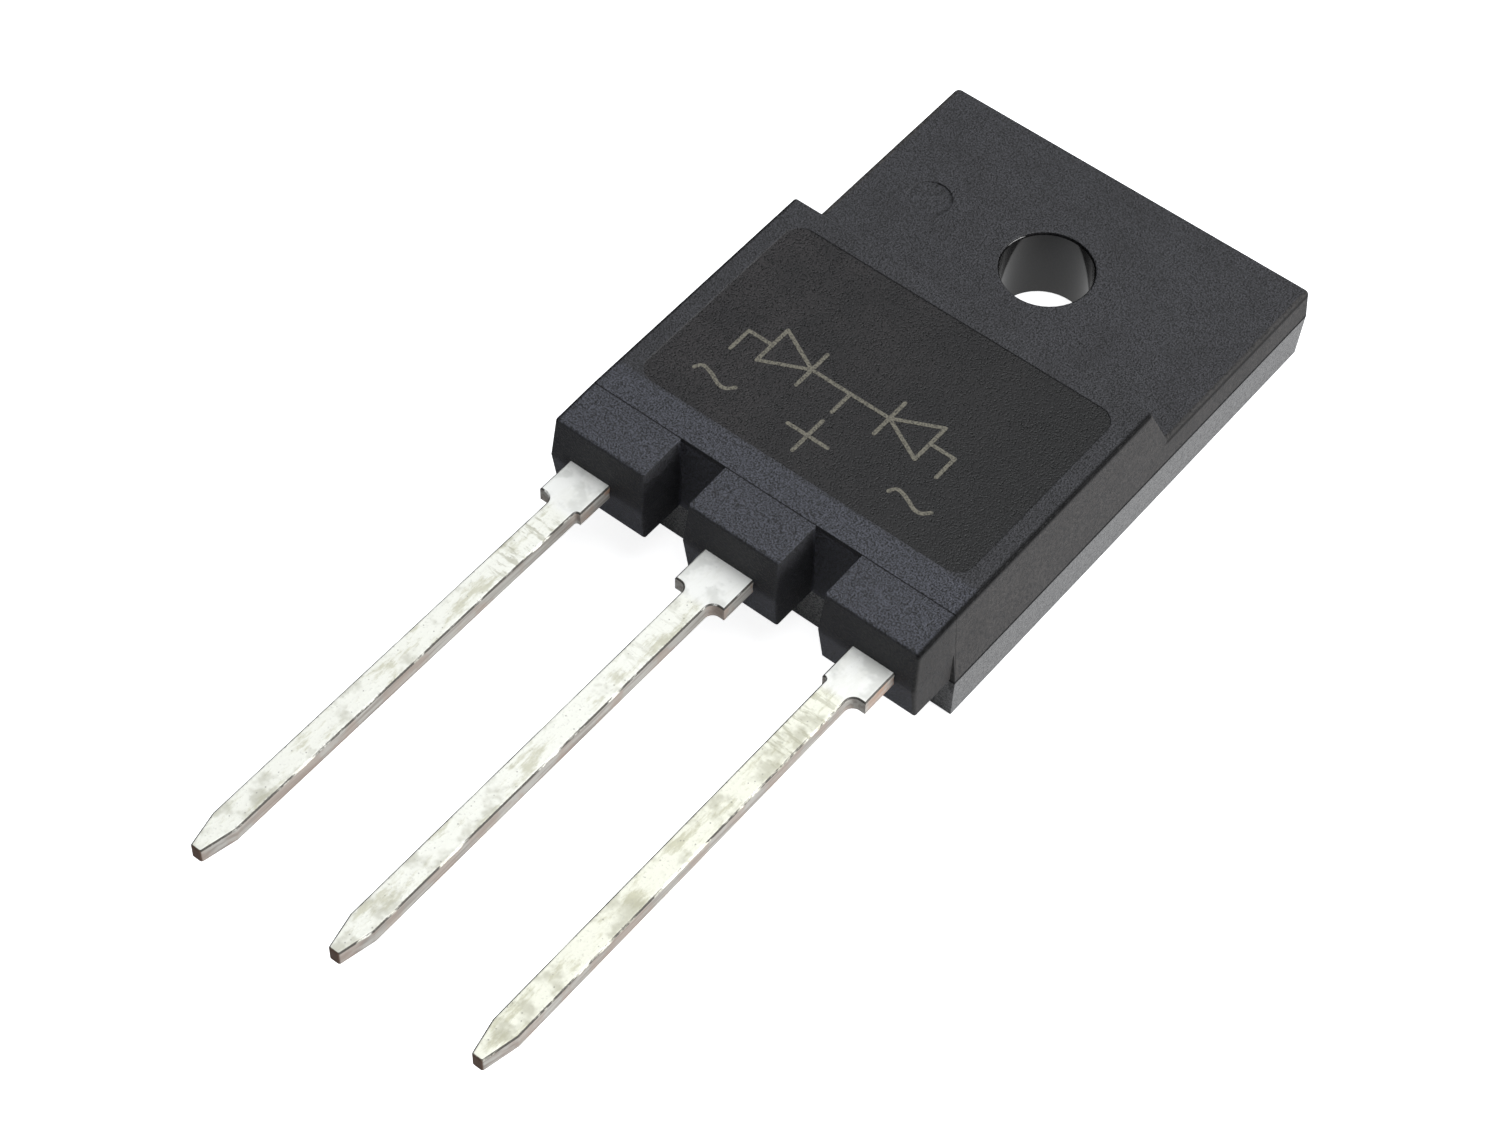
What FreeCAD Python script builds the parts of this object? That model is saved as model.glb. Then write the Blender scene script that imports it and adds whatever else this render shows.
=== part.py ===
import FreeCAD, Part
import math
import os

import Sketcher
from FreeCAD import Vector

# Fully moulded power package with three leads that holds two fast recovery
# diodes with a common cathode. Millimetres. The origin lies on the mounting
# hole's axis in the back face, +Z leaves the marked face, the tab points to
# +Y and the leads to -Y.

doc = FreeCAD.newDocument("fast_recovery_diode")

# Driving dimensions

SIZES = {
    # moulded body, measured from the mounting hole's axis
    "body_width": 14.7,
    "tab_end": 4.85,
    "rear_shoulder": 4.5,
    "slope_run": 1.1,
    "front_face": 14.8,
    # heights above the back face
    "thickness": 5.2,
    "tab_thickness": 2.95,
    "side_parting": 1.8,
    "draft": 3.0,
    # rounding of the tab's upright corners
    "corner_round": 0.2,
    "edge_round": 0.12,
    # mounting hole
    "hole_diameter": 3.2,
    "hole_rim": 0.1,
    # bosses that carry the leads out of the front face
    "boss_length": 1.95,
    "boss_width": 3.75,
    "boss_gap": 1.6,
    "boss_underside": 1.95,
    "boss_top_drop": 0.1,
    "boss_draft": 7.0,
    # polished field for the marking, and the ejector pin's mark
    "field_margin_side": 0.72,
    "field_margin_front": 1.2,
    "field_margin_rear": 0.8,
    "field_corner": 0.65,
    "field_depth": 0.03,
    "pin_mark_diameter": 1.6,
    "pin_mark_offset": 4.9,
    "pin_mark_depth": 0.05,
    # leads
    "lead_pitch": 5.45,
    "lead_cover": 1.45,
    "lead_thickness": 0.6,
    "lead_width": 0.95,
    "lead_length": 17.9,
    "lead_edge_break": 0.05,
    "tip_taper": 1.25,
    "tip_width": 0.4,
    "tip_round": 0.1,
    "shoulder_length": 1.4,
    "shoulder_step": 0.5,
    "shoulder_step_outer": 0.525,
    "shoulder_step_inner": 0.175,
    "neck_share": 0.6,
    # die pad, one piece with the middle lead
    "pad_cover": 1.25,
    "pad_setback": 2.0,
    "pad_underside": 0.6,
    "pad_hole_wall": 1.0,
    "pad_rim": 0.9,
    "pad_corner": 0.6,
    "riser_run": 1.3,
    # bond posts at the inner ends of the outer leads
    "post_setback": 0.5,
    "post_depth": 1.5,
    "post_reach": 2.25,
    # diode chips and their solder
    "chip_side": 3.4,
    "chip_height": 0.3,
    "chip_spacing": 6.4,
    "chip_setback": 4.2,
    "solder_margin": 0.1,
    "solder_height": 0.06,
    # bond wires
    "wire_diameter": 0.35,
    "wire_squash": 0.07,
    "wire_foot": 0.6,
    "wire_start": 0.3,
    "wire_inset": 0.5,
    "wire_crown": 0.3,
    "wire_rise_angle": 62.0,
    "wire_fall_angle": 35.0,
    "wire_cover": 0.5,
    "wire_spread_chip": 1.5,
    "wire_spread_post": 1.7,
}

sheet = doc.addObject("Spreadsheet::Sheet", "sizes")
for row, (alias, value) in enumerate(SIZES.items(), start=1):
    sheet.set("A%d" % row, alias)
    sheet.set("B%d" % row, str(value))
    sheet.setAlias("B%d" % row, alias)
doc.recompute()

# Derived heights and places, as expressions on the sheet

HALF_WIDTH = "sizes.body_width / 2"
TAB_TOP = "sizes.tab_thickness"
LEAD_TOP = "(sizes.thickness - sizes.lead_cover)"
LEAD_PLANE = "(sizes.thickness - sizes.lead_cover - sizes.lead_thickness)"
FRONT_PARTING = "(sizes.thickness - sizes.lead_cover - sizes.lead_thickness / 2)"
BOSS_FACE = "(sizes.front_face + sizes.boss_length)"
SHOULDER_END = "(sizes.front_face + sizes.boss_length + sizes.shoulder_length)"
LEAD_TIP = "(sizes.front_face + sizes.boss_length + sizes.lead_length)"
PAD_TOP = "sizes.side_parting"
PAD_FRONT = "(sizes.front_face - sizes.pad_setback)"
RISER_TOP = "(sizes.front_face - sizes.pad_setback + sizes.riser_run)"
POST_FRONT = "(sizes.front_face - sizes.post_setback)"
SOLDER_TOP = "(sizes.side_parting + sizes.solder_height)"
CHIP_TOP = "(sizes.side_parting + sizes.solder_height + sizes.chip_height)"
CHIP_ROW = "(sizes.front_face - sizes.pad_setback - sizes.chip_setback)"


def number(expression):
    """The value that an expression on the sheet has now."""
    value = sheet.evalExpression(str(expression))
    return float(getattr(value, "Value", value))


def lean(height):
    """How far a drafted wall leans in over a height."""
    return "(%s) * tan(sizes.draft)" % height


# Helpers for bodies, sketches and features

ORIGIN = (-1, 1)

# how far a cutting outline reaches past the faces that it cuts
BEYOND = "1"

# how close an edge lies to the place that it is picked by, and how upright it stands
NEAR = 0.02
UPRIGHT = 0.98


def new_body(label):
    body = doc.addObject("PartDesign::Body", label)
    body.Label = label
    return body


def new_sketch(body, name, plane, offset="0"):
    """A sketch on one of the body's own planes, moved along its normal."""
    sketch = body.newObject("Sketcher::SketchObject", name)
    face = [item for item in body.Origin.OriginFeatures if item.Role == plane][0]
    sketch.AttachmentSupport = (face, "")
    sketch.MapMode = "FlatFace"
    sketch.setExpression("AttachmentOffset.Base.z", str(offset))
    return sketch


def pin(sketch, geometry, end, across, up):
    """Ties a point of the sketch to the origin with two expressions."""
    for kind, expression in (("DistanceX", across), ("DistanceY", up)):
        value = number(expression)
        index = sketch.addConstraint(
            Sketcher.Constraint(kind, ORIGIN[0], ORIGIN[1], geometry, end, value))
        sketch.setExpression("Constraints[%d]" % index, str(expression))


def outline(sketch, corners, closed=True):
    """Straight edges from corner to corner, each corner tied to the sheet."""
    points = [Vector(number(across), number(up), 0) for across, up in corners]
    first = sketch.GeometryCount
    count = len(points)
    edges = count if closed else count - 1
    for i in range(edges):
        sketch.addGeometry(Part.LineSegment(points[i], points[(i + 1) % count]), False)
    for i in range(edges):
        pin(sketch, first + i, 1, *corners[i])
        if closed or i < edges - 1:
            sketch.addConstraint(
                Sketcher.Constraint("Coincident", first + i, 2, first + (i + 1) % count, 1))
        else:
            pin(sketch, first + i, 2, *corners[i + 1])


def circle(sketch, across, up, radius):
    """A full circle with its centre and radius tied to the sheet."""
    centre = Vector(number(across), number(up), 0)
    index = sketch.addGeometry(Part.Circle(centre, Vector(0, 0, 1), number(radius)), False)
    pin(sketch, index, 3, across, up)
    size = sketch.addConstraint(Sketcher.Constraint("Radius", index, number(radius)))
    sketch.setExpression("Constraints[%d]" % size, str(radius))


def rounded_rectangle(sketch, across, up, radius):
    """A rectangle with rounded corners, its sides and radius tied to the sheet."""
    left, right = (number(value) for value in across)
    low, high = (number(value) for value in up)
    r = number(radius)
    corners = [(right - r, high - r, 0), (left + r, high - r, 90),
               (left + r, low + r, 180), (right - r, low + r, 270)]
    first = sketch.GeometryCount
    for x, y, start in corners:
        ring = Part.Circle(Vector(x, y, 0), Vector(0, 0, 1), r)
        begin = math.radians(start)
        sketch.addGeometry(Part.ArcOfCircle(ring, begin, begin + math.pi / 2), False)
    arcs = [sketch.Geometry[first + i] for i in range(4)]
    for i in range(4):
        straight = Part.LineSegment(arcs[i].EndPoint, arcs[(i + 1) % 4].StartPoint)
        sketch.addGeometry(straight, False)
    for i in range(4):
        line = first + 4 + i
        sketch.addConstraint(Sketcher.Constraint("Tangent", first + i, 2, line, 1))
        sketch.addConstraint(Sketcher.Constraint("Tangent", line, 2, first + (i + 1) % 4, 1))
        sketch.addConstraint(Sketcher.Constraint("Horizontal" if i % 2 == 0 else "Vertical", line))
    for i in range(1, 4):
        sketch.addConstraint(Sketcher.Constraint("Equal", first, first + i))
    sides = [("DistanceY", first + 4, up[1]), ("DistanceX", first + 5, across[0]),
             ("DistanceY", first + 6, up[0]), ("DistanceX", first + 7, across[1])]
    for kind, line, expression in sides:
        index = sketch.addConstraint(
            Sketcher.Constraint(kind, ORIGIN[0], ORIGIN[1], line, 1, number(expression)))
        sketch.setExpression("Constraints[%d]" % index, str(expression))
    index = sketch.addConstraint(Sketcher.Constraint("Radius", first, r))
    sketch.setExpression("Constraints[%d]" % index, str(radius))


def pad(body, sketch, length, midplane=False):
    feature = body.newObject("PartDesign::Pad", sketch.Name + "_pad")
    feature.Profile = sketch
    feature.setExpression("Length", str(length))
    feature.Midplane = midplane
    sketch.Visibility = False


def pocket(body, sketch, length=None, midplane=False):
    """A pocket of a given depth, or right through the body."""
    feature = body.newObject("PartDesign::Pocket", sketch.Name + "_pocket")
    feature.Profile = sketch
    if length is None:
        feature.Type = "ThroughAll"
    else:
        feature.setExpression("Length", str(length))
    feature.Midplane = midplane
    sketch.Visibility = False


def pick_edges(feature, wanted):
    """Names of the edges for which wanted(edge, middle point) is true."""
    names = []
    for i, edge in enumerate(feature.Shape.Edges, start=1):
        middle = edge.valueAt((edge.FirstParameter + edge.LastParameter) / 2)
        if wanted(edge, middle):
            names.append("Edge%d" % i)
    return names


def round_edges(body, name, radius, wanted):
    """Rounds the picked edges of the body's last feature."""
    doc.recompute()
    base = body.Tip
    feature = body.newObject("PartDesign::Fillet", name)
    feature.Base = (base, pick_edges(base, wanted))
    feature.setExpression("Radius", str(radius))


def stands_up(edge):
    """True for a straight edge that runs upright, drafted or not."""
    if edge.Curve.TypeId != "Part::GeomLine":
        return False
    span = edge.Vertexes[-1].Point - edge.Vertexes[0].Point
    return abs(span.z) > UPRIGHT * span.Length


def near(value, expression):
    return abs(value - number(expression)) < NEAR


# Moulded body: one epoxy moulding, a thin tab and a thick part

def make_moulding():
    body = new_body("moulding")

    # side view: back face, drafted ends, slope between tab and thick part
    side = new_sketch(body, "side_view", "YZ_Plane")
    front_top = "-(sizes.front_face - %s)" % lean("sizes.thickness - %s" % FRONT_PARTING)
    front_foot = "-(sizes.front_face - %s)" % lean(FRONT_PARTING)
    end_top = "(sizes.tab_end - %s)" % lean("sizes.tab_thickness - sizes.side_parting")
    end_foot = "sizes.tab_end - %s" % lean("sizes.side_parting")
    outline(side, [
        (front_foot, "0"),
        ("-sizes.front_face", FRONT_PARTING),
        (front_top, "sizes.thickness"),
        ("-sizes.rear_shoulder", "sizes.thickness"),
        ("-(sizes.rear_shoulder - sizes.slope_run)", TAB_TOP),
        (end_top, TAB_TOP),
        ("sizes.tab_end", "sizes.side_parting"),
        (end_foot, "0"),
    ])
    pad(body, side, "sizes.body_width", midplane=True)

    # the long sides lean in above and below their parting line
    sides = new_sketch(body, "side_drafts", "XZ_Plane")
    outer = "(%s + %s)" % (HALF_WIDTH, BEYOND)
    top_width = "(%s - %s)" % (HALF_WIDTH, lean("sizes.thickness - sizes.side_parting"))
    foot_width = "(%s - %s)" % (HALF_WIDTH, lean("sizes.side_parting"))
    for sign in ("", "-"):
        outline(sides, [
            (sign + foot_width, "0"),
            (sign + "(%s)" % HALF_WIDTH, "sizes.side_parting"),
            (sign + top_width, "sizes.thickness"),
            (sign + outer, "sizes.thickness"),
            (sign + outer, "0"),
        ])
    doc.recompute()
    pocket(body, sides, midplane=True)

    # three bosses, drafted above and below the leads' middle plane
    root = lean(FRONT_PARTING)
    section = new_sketch(body, "boss_sections", "XZ_Plane", "sizes.front_face - %s" % root)
    half = "sizes.boss_width / 2"
    rise = lean("sizes.thickness - %s" % FRONT_PARTING)
    fall = lean("%s - sizes.boss_underside" % FRONT_PARTING)
    side_lean = lean("%s - sizes.side_parting" % FRONT_PARTING)
    flank = "(%s - %s)" % (HALF_WIDTH, side_lean)
    inner_flank = "(%s + sizes.boss_gap)" % half
    for left, right in (("-" + flank, "-" + inner_flank),
                        ("-" + half, half),
                        (inner_flank, flank)):
        outline(section, [
            ("%s + %s" % (left, fall), "sizes.boss_underside"),
            (left, FRONT_PARTING),
            ("%s + %s" % (left, rise), "sizes.thickness"),
            ("%s - %s" % (right, rise), "sizes.thickness"),
            (right, FRONT_PARTING),
            ("%s - %s" % (right, fall), "sizes.boss_underside"),
        ])
    pad(body, section, "%s + sizes.boss_length" % root)

    # drafted boss faces, and tops that fall a little towards the leads
    faces = new_sketch(body, "boss_faces", "YZ_Plane")
    boss_lean = "(%s) * tan(sizes.boss_draft)"
    upper = boss_lean % ("sizes.thickness - sizes.boss_top_drop - %s" % FRONT_PARTING)
    lower = boss_lean % ("%s - sizes.boss_underside" % FRONT_PARTING)
    beyond = "-(%s + %s)" % (BOSS_FACE, BEYOND)
    outline(faces, [
        (front_top, "sizes.thickness"),
        ("-(%s - %s)" % (BOSS_FACE, upper), "sizes.thickness - sizes.boss_top_drop"),
        ("-" + BOSS_FACE, FRONT_PARTING),
        ("-(%s - %s)" % (BOSS_FACE, lower), "sizes.boss_underside"),
        ("-(%s - %s)" % (BOSS_FACE, lower), "0"),
        (beyond, "0"),
        (beyond, "sizes.thickness + " + BEYOND),
        (front_top, "sizes.thickness + " + BEYOND),
    ])
    doc.recompute()
    pocket(body, faces, midplane=True)

    # mounting hole
    hole = new_sketch(body, "mounting_hole", "XY_Plane")
    circle(hole, "0", "0", "sizes.hole_diameter / 2")
    pocket(body, hole, "2 * sizes.tab_thickness", midplane=True)

    # polished field for the marking, a hair below the grained face
    field = new_sketch(body, "marking_field", "XY_Plane", "sizes.thickness")
    field_side = "(%s - sizes.field_margin_side)" % top_width
    rounded_rectangle(
        field,
        ("-" + field_side, field_side),
        ("%s + sizes.field_margin_front" % front_top,
         "-(sizes.rear_shoulder + sizes.field_margin_rear)"),
        "sizes.field_corner")
    pocket(body, field, "sizes.field_depth")

    # round mark of an ejector pin on the tab
    mark = new_sketch(body, "pin_mark", "XY_Plane", TAB_TOP)
    circle(mark, "-sizes.pin_mark_offset", "0", "sizes.pin_mark_diameter / 2")
    pocket(body, mark, "sizes.pin_mark_depth")

    # upright corners at the tab's end, then the hole's rim
    tab_corner = "sizes.tab_end - %s" % lean("sizes.side_parting")
    round_edges(body, "tab_corners", "sizes.corner_round", lambda edge, middle:
                stands_up(edge) and middle.y > number(tab_corner))
    round_edges(body, "hole_rim", "sizes.hole_rim", lambda edge, middle:
                edge.Curve.TypeId == "Part::GeomCircle" and near(middle.z, TAB_TOP)
                and near(edge.Curve.Radius, "sizes.hole_diameter / 2"))

    # soft edges along both flanks, across the shoulder and the tab's end, and on the boss faces
    top_side = number(top_width) - NEAR
    shoulder = number("-sizes.rear_shoulder")
    tab_top = number(TAB_TOP) - NEAR
    boss_top = number("sizes.thickness - sizes.boss_top_drop") - NEAR
    boss_front = number("-(%s - sizes.boss_length / 4)" % BOSS_FACE)

    def outer_edge(edge, middle):
        on_tab = middle.y > shoulder and middle.z > tab_top
        on_flank = abs(middle.x) > top_side and (on_tab or middle.z > boss_top)
        at_shoulder = near(middle.z, "sizes.thickness") and near(middle.y, "-sizes.rear_shoulder")
        at_tab_end = near(middle.z, TAB_TOP) and near(middle.y, end_top)
        on_boss = middle.y < boss_front and not near(middle.z, FRONT_PARTING)
        return on_flank or at_shoulder or at_tab_end or on_boss

    round_edges(body, "soft_edges", "sizes.edge_round", outer_edge)
    return body


# Leads: stamped copper strip, one outline each, with its long edges broken

def finish_lead(body, necks):
    """Rounds the necks and the tip's corners, then breaks every long edge."""
    for name, places, step in necks:
        round_edges(body, name, "sizes.neck_share * %s" % step, lambda edge, middle:
                    stands_up(edge) and near(middle.y, "-" + SHOULDER_END)
                    and any(near(middle.x, place) for place in places))
    round_edges(body, "tip_corners", "sizes.tip_round", lambda edge, middle:
                stands_up(edge) and near(middle.y, "-" + LEAD_TIP))
    doc.recompute()
    base = body.Tip
    edges = body.newObject("PartDesign::Chamfer", "stamped_edges")
    edges.Base = (base, pick_edges(base, lambda edge, middle:
                  near(middle.z, LEAD_PLANE) or near(middle.z, LEAD_TOP)))
    edges.setExpression("Size", "sizes.lead_edge_break")


def tip_points(centre):
    """The narrow part's outline from one neck round the tip to the other."""
    half = "sizes.lead_width / 2"
    taper = "-(%s - sizes.tip_taper)" % LEAD_TIP
    return [
        ("%s - %s" % (centre, half), "-" + SHOULDER_END),
        ("%s - %s" % (centre, half), taper),
        ("%s - sizes.tip_width / 2" % centre, "-" + LEAD_TIP),
        ("%s + sizes.tip_width / 2" % centre, "-" + LEAD_TIP),
        ("%s + %s" % (centre, half), taper),
        ("%s + %s" % (centre, half), "-" + SHOULDER_END),
    ]


def make_anode_lead(label, side):
    """An outer lead with its bond post, side -1 for the left one."""
    body = new_body(label)
    plan = new_sketch(body, "plan", "XY_Plane", LEAD_PLANE)
    centre = "sizes.lead_pitch"
    half = "sizes.lead_width / 2"
    inner = "(sizes.lead_pitch - %s - sizes.shoulder_step_inner)" % half
    outer = "(sizes.lead_pitch + %s + sizes.shoulder_step_outer)" % half
    post_inner = "(sizes.lead_pitch - sizes.post_reach)"
    post_back = "-(%s - sizes.post_depth)" % POST_FRONT
    corners = [
        (outer, post_back),
        (post_inner, post_back),
        (post_inner, "-" + POST_FRONT),
        (inner, "-" + POST_FRONT),
        (inner, "-" + SHOULDER_END),
        *tip_points(centre),
        (outer, "-" + SHOULDER_END),
    ]
    outline(plan, [("%d * (%s)" % (side, across), up) for across, up in corners])
    pad(body, plan, "sizes.lead_thickness")
    finish_lead(body, [
        ("outer_neck", ["%d * (%s + %s)" % (side, centre, half)], "sizes.shoulder_step_outer"),
        ("inner_neck", ["%d * (%s - %s)" % (side, centre, half)], "sizes.shoulder_step_inner"),
    ])
    return body


def make_cathode_lead():
    """The middle lead, its riser and the die pad, stamped from one strip."""
    body = new_body("cathode_lead")
    plan = new_sketch(body, "plan", "XY_Plane", LEAD_PLANE)
    half = "(sizes.lead_width / 2 + sizes.shoulder_step)"
    outline(plan, [
        (half, "-" + RISER_TOP),
        ("-" + half, "-" + RISER_TOP),
        ("-" + half, "-" + SHOULDER_END),
        *tip_points("0"),
        (half, "-" + SHOULDER_END),
    ])
    pad(body, plan, "sizes.lead_thickness")
    finish_lead(body, [
        ("necks", ["sizes.lead_width / 2", "-sizes.lead_width / 2"], "sizes.shoulder_step"),
    ])

    # riser: the strip bends down from the lead plane to the pad
    riser = new_sketch(body, "riser", "YZ_Plane")
    foot = "(%s - sizes.lead_thickness)" % PAD_TOP
    rise = "(%s - %s)" % (LEAD_PLANE, foot)
    slant = "sizes.lead_thickness * sqrt(1 + (sizes.riser_run / %s)^2)" % rise
    run = "sizes.riser_run / %s" % rise
    outline(riser, [
        ("-" + PAD_FRONT, foot),
        ("-%s + %s - sizes.lead_thickness * %s" % (PAD_FRONT, slant, run), PAD_TOP),
        ("-%s + %s - (%s + sizes.lead_thickness) * %s" % (PAD_FRONT, slant, rise, run), LEAD_TOP),
        ("-" + RISER_TOP, LEAD_TOP),
        ("-" + RISER_TOP, LEAD_PLANE),
    ])
    pad(body, riser, "2 * %s" % half, midplane=True)

    # die pad with a wide hole round the mounting screw
    plate = new_sketch(body, "die_pad", "XY_Plane", "sizes.pad_underside")
    side = "(%s - sizes.pad_cover)" % HALF_WIDTH
    hole = "(sizes.hole_diameter / 2 + sizes.pad_hole_wall)"
    rounded_rectangle(plate, ("-" + side, side),
                      ("-" + PAD_FRONT, "%s + sizes.pad_rim" % hole), "sizes.pad_corner")
    circle(plate, "0", "0", hole)
    pad(body, plate, "%s - sizes.pad_underside" % PAD_TOP)
    return body


# Chips and solder: square plates stacked on the die pad

def make_plate(label, side, foot, margin, height):
    """A square plate centred on a chip's place, side -1 for the left one."""
    plate = doc.addObject("Part::Box", label)
    plate.Label = label
    edge = "(sizes.chip_side + 2 * %s)" % margin
    plate.setExpression("Length", edge)
    plate.setExpression("Width", edge)
    plate.setExpression("Height", height)
    plate.setExpression("Placement.Base.x",
                        "%d * sizes.chip_spacing / 2 - %s / 2" % (side, edge))
    plate.setExpression("Placement.Base.y", "-%s - %s / 2" % (CHIP_ROW, edge))
    plate.setExpression("Placement.Base.z", foot)
    return plate


# Bond wires: round aluminium wire with a sharp heel at each wedge bond

def loop_points(span, foot_height, top_height, end_height):
    """Foot, steep rise, level crown with soft shoulders, gentle fall and foot."""
    shoulder_height = "(%s - sizes.wire_crown)" % top_height
    rise_end = "(sizes.wire_foot + (%s - (%s)) / tan(sizes.wire_rise_angle))" % (
        shoulder_height, foot_height)
    fall_start = "(%s - sizes.wire_foot - (%s - (%s)) / tan(sizes.wire_fall_angle))" % (
        span, shoulder_height, end_height)
    return [
        ("0", foot_height),
        ("sizes.wire_foot", foot_height),
        (rise_end, shoulder_height),
        ("%s + sizes.wire_crown / tan(sizes.wire_rise_angle / 2)" % rise_end, top_height),
        ("%s - sizes.wire_crown / tan(sizes.wire_fall_angle / 2)" % fall_start, top_height),
        (fall_start, shoulder_height),
        ("%s - sizes.wire_foot" % span, end_height),
        (span, end_height),
    ]


def make_bond_wire(label, side, place):
    """A wire from a chip to its post, place -1 for the wire nearer the middle."""
    body = new_body(label)
    post_outer = "(sizes.lead_width / 2 + sizes.shoulder_step_outer)"
    post_middle = "(sizes.lead_pitch + (%s - sizes.post_reach) / 2)" % post_outer
    start_x = "(%d * (sizes.chip_spacing + %d * sizes.wire_spread_chip) / 2)" % (side, place)
    end_x = "(%d * (%s + %d * sizes.wire_spread_post / 2))" % (side, post_middle, place)
    start_y = "(-%s - sizes.wire_start)" % CHIP_ROW
    end_y = "(-%s + sizes.wire_inset)" % POST_FRONT
    across = "(%s - %s)" % (end_x, start_x)
    along = "(%s - %s)" % (end_y, start_y)
    span = "sqrt(%s^2 + %s^2)" % (across, along)
    body.setExpression("Placement.Base.x", start_x)
    body.setExpression("Placement.Base.y", start_y)
    body.setExpression("Placement.Rotation.Angle", "atan2(%s; %s)" % (along, across))

    seat = "sizes.wire_diameter / 2 - sizes.wire_squash"
    foot_height = "%s + %s" % (CHIP_TOP, seat)
    end_height = "%s + %s" % (LEAD_TOP, seat)
    top_height = "sizes.thickness - sizes.wire_cover - sizes.wire_diameter / 2"
    path = new_sketch(body, "loop", "XZ_Plane")
    outline(path, loop_points(span, foot_height, top_height, end_height), closed=False)
    section = new_sketch(body, "section", "YZ_Plane")
    circle(section, "0", foot_height, "sizes.wire_diameter / 2")
    doc.recompute()
    wire = body.newObject("PartDesign::AdditivePipe", "wire")
    wire.Profile = section
    wire.Spine = path
    wire.Transition = "Right corner"
    doc.recompute()

    # both feet are flat against what they are bonded to
    flats = new_sketch(body, "flats", "XZ_Plane")
    reach = "sizes.wire_diameter"
    foot_end = "sizes.wire_foot + " + reach
    for near_end, far_end, level in (("-" + reach, foot_end, CHIP_TOP),
                                     ("%s - (%s)" % (span, foot_end), span + " + " + reach, LEAD_TOP)):
        outline(flats, [
            (near_end, level + " - " + reach),
            (far_end, level + " - " + reach),
            (far_end, level),
            (near_end, level),
        ])
    pocket(body, flats, midplane=True)
    return body


SIDES = {"left": -1, "right": 1}

moulding = make_moulding()
inner = [make_cathode_lead()]
for name, side in SIDES.items():
    inner.append(make_anode_lead("anode_lead_" + name, side))
for name, side in SIDES.items():
    inner.append(make_plate("chip_solder_" + name, side, PAD_TOP,
                            "sizes.solder_margin", "sizes.solder_height"))
    inner.append(make_plate("diode_chip_" + name, side, SOLDER_TOP,
                            "0", "sizes.chip_height"))
for name, side in SIDES.items():
    for position, place in (("inner", -1), ("outer", 1)):
        inner.append(make_bond_wire("bond_wire_%s_%s" % (name, position), side, place))

# the epoxy flows round everything that the lead frame carries
frame = doc.addObject("Part::MultiFuse", "lead_frame_assembly")
frame.Shapes = inner
package = doc.addObject("Part::Cut", "package_body")
package.Label = "package_body"
package.Base = moulding
package.Tool = frame
doc.recompute()

pieces = [package] + inner

for item in doc.Objects:
    if "Invalid" in item.State or "Error" in item.State:
        raise RuntimeError("%s did not compute: %s" % (item.Label, item.State))
for piece in pieces:
    if piece.Shape.isNull() or not piece.Shape.isValid():
        raise RuntimeError("%s has no valid shape" % piece.Label)

os.makedirs("parts", exist_ok=True)
for piece in pieces:
    piece.Shape.exportStep("parts/%s.step" % piece.Label)
    print("%-24s %d solid(s) %9.3f mm3" % (piece.Label, len(piece.Shape.Solids), piece.Shape.Volume))
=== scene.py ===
import math
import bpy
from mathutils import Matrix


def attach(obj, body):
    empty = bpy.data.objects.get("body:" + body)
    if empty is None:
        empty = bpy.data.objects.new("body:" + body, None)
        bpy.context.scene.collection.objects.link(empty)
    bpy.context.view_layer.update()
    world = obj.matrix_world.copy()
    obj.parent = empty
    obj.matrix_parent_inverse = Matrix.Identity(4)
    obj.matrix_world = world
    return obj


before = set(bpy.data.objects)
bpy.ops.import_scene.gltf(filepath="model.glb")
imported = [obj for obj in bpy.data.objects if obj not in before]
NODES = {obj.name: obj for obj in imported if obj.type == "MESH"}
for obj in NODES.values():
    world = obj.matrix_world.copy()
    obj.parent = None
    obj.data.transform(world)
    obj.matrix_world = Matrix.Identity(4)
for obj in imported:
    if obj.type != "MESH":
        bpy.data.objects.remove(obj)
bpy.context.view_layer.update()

from types import SimpleNamespace

import bpy
from mathutils import Quaternion, Vector

MM = 0.001

# Heights above the back face and the fall of the bosses' tops, in millimetres, as in the solids
THICKNESS = 5.2
FIELD_TOP = 5.17
FRONT_PARTING = 3.45
TAB_TOP = 2.95
SIDE_PARTING = 1.8
BOSS_DROP = 0.1

# Places along the leads' direction, from the mounting hole's axis
SLOPE_FOOT = -3.4
REAR_SHOULDER = -4.5
FIELD_REAR = -5.3
FIELD_FRONT = -13.5
FRONT_TOP = -14.708
BOSS_FACE = -16.75
SHOULDER_LENGTH = 1.4
LEAD_TIP = -34.65

# Where the flanks start and the outer leads stand, half a lead's width, and the hole's radius
FLANK = 7.1
LEAD_PITCH = 5.45
LEAD_HALF_WIDTH = 0.475
HOLE_RADIUS = 1.6


def mm(x, y, z):
    return Vector((x, y, z)) * MM


# Camera: the photograph's place, aim, roll and lens

CAMERA_AT = mm(43.1253, -71.6677, 96.4814)
CAMERA_AIM = mm(-1.2814, -13.9919, 0.0)
CAMERA_ROLL = math.radians(1.6427)
LENS = 90.381
SENSOR = 36.0
NEAREST_SEEN = 10.0
FARTHEST_SEEN = 5000.0

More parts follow.
